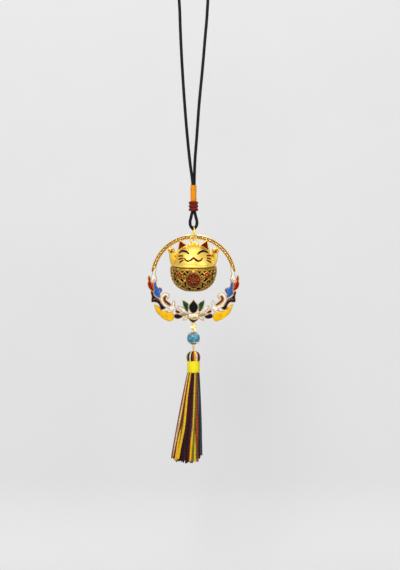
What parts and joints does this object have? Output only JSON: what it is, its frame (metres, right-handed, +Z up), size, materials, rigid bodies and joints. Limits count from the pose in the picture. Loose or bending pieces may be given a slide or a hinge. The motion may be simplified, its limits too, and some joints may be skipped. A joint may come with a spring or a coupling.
{
  "type": "lucky cat charm",
  "caption": "Hanging charm: a gold cat pomander with an openwork body swings in an enamelled lotus hoop, over a turquoise bead and a tassel on a black cord.",
  "frame": {"origin": "inside top of the cord's hanging loop, where the hook bears", "axes": "+Z up along the hanging charm, -Y towards the front of the cat, +X to its right in the front view"},
  "size_m": [0.061, 0.0344, 0.3211],
  "materials": {
    "gold": "polished and satin gold plating",
    "silver": "bright silver plating",
    "cord_black": "round black cord",
    "thread_orange": "orange thread wound close",
    "thread_red": "dark red thread wound close",
    "thread_yellow": "bright yellow thread wound close",
    "tassel_thread": "mixed gold, maroon, purple, olive and cream strands",
    "turquoise": "polished turquoise with dark veins",
    "enamel_white": "glossy white enamel",
    "enamel_red": "glossy red enamel",
    "enamel_blue": "glossy blue enamel",
    "enamel_navy": "glossy navy enamel",
    "enamel_yellow": "glossy yellow enamel",
    "enamel_green": "glossy dark green enamel",
    "enamel_pale_green": "glossy pale green enamel",
    "enamel_lilac": "glossy lilac white enamel",
    "enamel_black": "glossy black enamel",
    "enamel_teal": "glossy teal enamel"
  },
  "bodies": {
    "cord": {"upper_cord": "cord_black", "lower_cord": "cord_black", "cord_sleeve": "thread_orange", "red_whipping": "thread_red"},
    "ring": {"jump_ring": "gold"},
    "hoop": {"hoop_frame": "gold", "black_petal": "enamel_black", "white_knot": "enamel_white", "teal_drop": "enamel_teal", "navy_drop": "enamel_navy", "white_branch_left": "enamel_white", "white_branch_right": "enamel_white", "red_flame_left": "enamel_red", "red_flame_right": "enamel_red", "blue_cloud_left": "enamel_blue", "blue_cloud_right": "enamel_blue", "navy_bud_left": "enamel_navy", "navy_bud_right": "enamel_navy", "white_scroll_left": "enamel_white", "white_scroll_right": "enamel_white", "red_scroll_left": "enamel_red", "red_scroll_right": "enamel_red", "yellow_cloud_left": "enamel_yellow", "yellow_cloud_right": "enamel_yellow", "red_leaf_left": "enamel_red", "red_leaf_right": "enamel_red", "navy_lobe_left": "enamel_navy", "navy_lobe_right": "enamel_navy", "lilac_petal_left": "enamel_lilac", "lilac_petal_right": "enamel_lilac", "pale_leaf_left": "enamel_pale_green", "pale_leaf_right": "enamel_pale_green", "leaflet_left": "enamel_lilac", "leaflet_right": "enamel_lilac", "green_petal_left": "enamel_green", "green_petal_right": "enamel_green"},
    "cat": {"cat_head": "gold", "hinge_pin": "gold", "ear_inlay_left": "enamel_red", "ear_inlay_right": "enamel_red", "eye_left": "enamel_black", "eye_right": "enamel_black", "mouth": "enamel_red"},
    "cat_body": {"cat_body_shell": "gold", "belly_medallion": "enamel_red", "collar_bell": "gold", "gem_left": "enamel_red", "gem_right": "enamel_red"},
    "drop": {"eye_pin": "gold", "star_charm": "gold"},
    "bead": {"turquoise_bead": "turquoise", "bead_cap_top": "silver", "bead_cap_bottom": "silver"},
    "tassel": {"tassel_loop": "thread_yellow", "tassel_head": "tassel_thread", "tassel_binding": "thread_yellow", "tassel_skirt": "tassel_thread"}
  },
  "joints": [
    {"name": "ring_swing", "type": "hinge", "parent": "cord", "child": "ring", "pos_m": [0, 0, -0.1642], "axis": [1, 0, 0], "range_deg": [-35, 35]},
    {"name": "hoop_swing", "type": "hinge", "parent": "ring", "child": "hoop", "pos_m": [0, 0, -0.17175], "axis": [0, 1, 0], "range_deg": [-12, 12]},
    {"name": "cat_swing", "type": "hinge", "parent": "ring", "child": "cat", "pos_m": [0, -0.00249, -0.171], "axis": [1, 0, 0], "range_deg": [-20, 3]},
    {"name": "body_open", "type": "hinge", "parent": "cat", "child": "cat_body", "pos_m": [0, 0.01587, -0.1861], "axis": [1, 0, 0], "range_deg": [0, 16]},
    {"name": "drop_swing", "type": "hinge", "parent": "hoop", "child": "drop", "pos_m": [0, 0, -0.22807], "axis": [1, 0, 0], "range_deg": [-25, 25]},
    {"name": "bead_spin", "type": "hinge", "parent": "drop", "child": "bead", "pos_m": [0, 0, -0.23637], "axis": [0, 0, 1], "continuous": true},
    {"name": "tassel_swing", "type": "hinge", "parent": "drop", "child": "tassel", "pos_m": [0, 0, -0.24247], "axis": [0, 1, 0], "range_deg": [-30, 30]}
  ]
}
